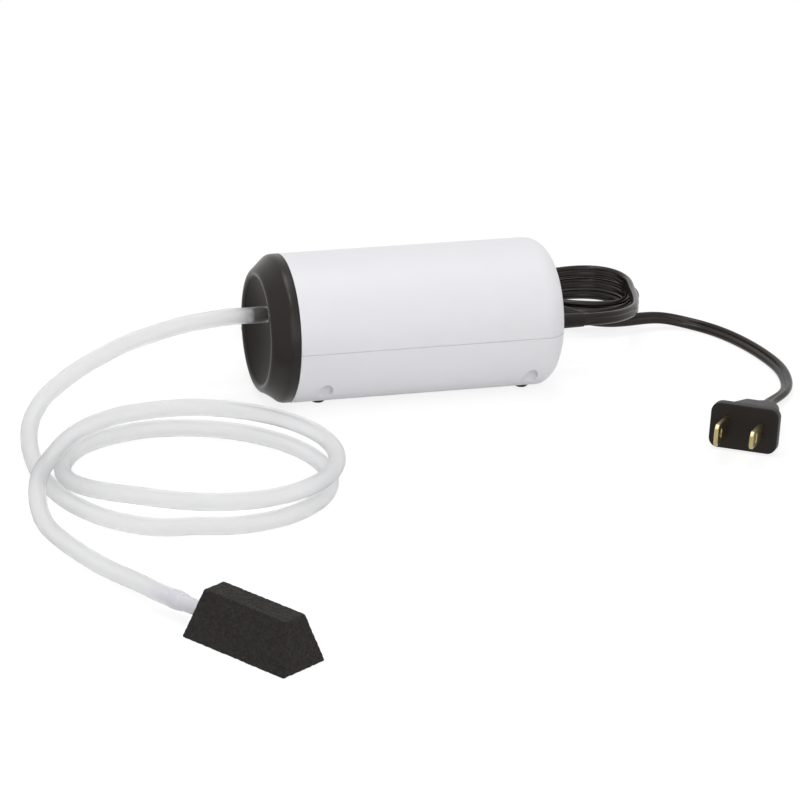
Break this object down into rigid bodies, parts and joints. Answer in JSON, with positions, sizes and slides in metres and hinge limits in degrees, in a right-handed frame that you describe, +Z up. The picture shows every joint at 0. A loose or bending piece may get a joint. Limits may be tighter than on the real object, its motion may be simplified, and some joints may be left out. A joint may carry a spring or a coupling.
{
  "type": "aquarium_air_pump",
  "caption": "Small aquarium air pump with a white tube-shaped housing, dished grey front cap, clear airline hose with a black air stone, and a flat mains lead tied in a hank.",
  "frame": {"origin": "on the floor under the middle of the pump, without its hose and lead", "axes": "+X to the rear where the lead leaves, +Y to the right seen from the rear, +Z up"},
  "size_m": [0.3047, 0.3147, 0.0525],
  "materials": {
    "white_plastic": "moulded, satin gloss",
    "grey_plastic": "moulded, fine grain",
    "black_plastic": "moulded",
    "natural_plastic": "moulded",
    "black_rubber": "matte",
    "screw_steel": "zinc plated",
    "core_steel": "stamped laminations",
    "enamelled_copper": "enamelled wire",
    "ferrite": "ground",
    "brown_insulation": "extruded",
    "felt": "pressed felt",
    "clear_hose": "clear soft tube",
    "bonded_grit": "gritty, porous",
    "black_lead": "soft moulded",
    "blade_brass": "stamped"
  },
  "bodies": {
    "case": {"upper_shell": "white_plastic", "lower_shell": "white_plastic", "front_cap": "grey_plastic", "air_nozzle": "black_plastic", "rubber_feet": "black_rubber", "case_screws": "screw_steel", "strain_relief": "black_rubber", "lead_wires": "brown_insulation", "core_stack": "core_steel", "core_pads": "black_rubber", "core_screws": "screw_steel", "bobbin": "natural_plastic", "winding": "enamelled_copper", "arm_pin": "screw_steel", "pin_bushes": "black_rubber", "bellows": "black_rubber", "valve_block": "natural_plastic", "valve_gasket": "black_rubber", "chamber_cover": "natural_plastic", "cover_screws": "screw_steel", "block_screws": "screw_steel", "intake_felt": "felt", "hose_from_nozzle": "clear_hose", "hose_coil": "clear_hose", "hose_to_stone": "clear_hose", "stone_connector": "natural_plastic", "air_stone": "bonded_grit", "cord_to_hank": "black_lead", "cord_hank": "black_lead", "cord_to_plug": "black_lead", "cord_tie": "black_lead", "plug_body": "black_lead", "wide_blade": "blade_brass", "narrow_blade": "blade_brass"},
    "arm": {"swing_arm": "natural_plastic", "arm_magnets": "ferrite", "bellows_washer": "screw_steel", "bellows_screw": "screw_steel", "bellows_nut": "screw_steel"},
    "inlet_valve": {"inlet_flap": "black_rubber"},
    "outlet_valve": {"outlet_flap": "black_rubber"}
  },
  "joints": [
    {"name": "arm_swing", "type": "hinge", "parent": "case", "child": "arm", "pos_m": [-0.0214, 0, 0.041], "axis": [0, 1, 0], "range_deg": [-3, 3], "stiffness_Nm_per_rad": 0.05, "deforming": ["bellows"]},
    {"name": "inlet_valve_lift", "type": "hinge", "parent": "case", "child": "inlet_valve", "pos_m": [-0.0355, 0, 0.0285], "axis": [0, -1, 0], "range_deg": [0, 15]},
    {"name": "outlet_valve_lift", "type": "hinge", "parent": "case", "child": "outlet_valve", "pos_m": [-0.0412, 0, 0.0411], "axis": [0, 1, 0], "range_deg": [0, 15]}
  ]
}
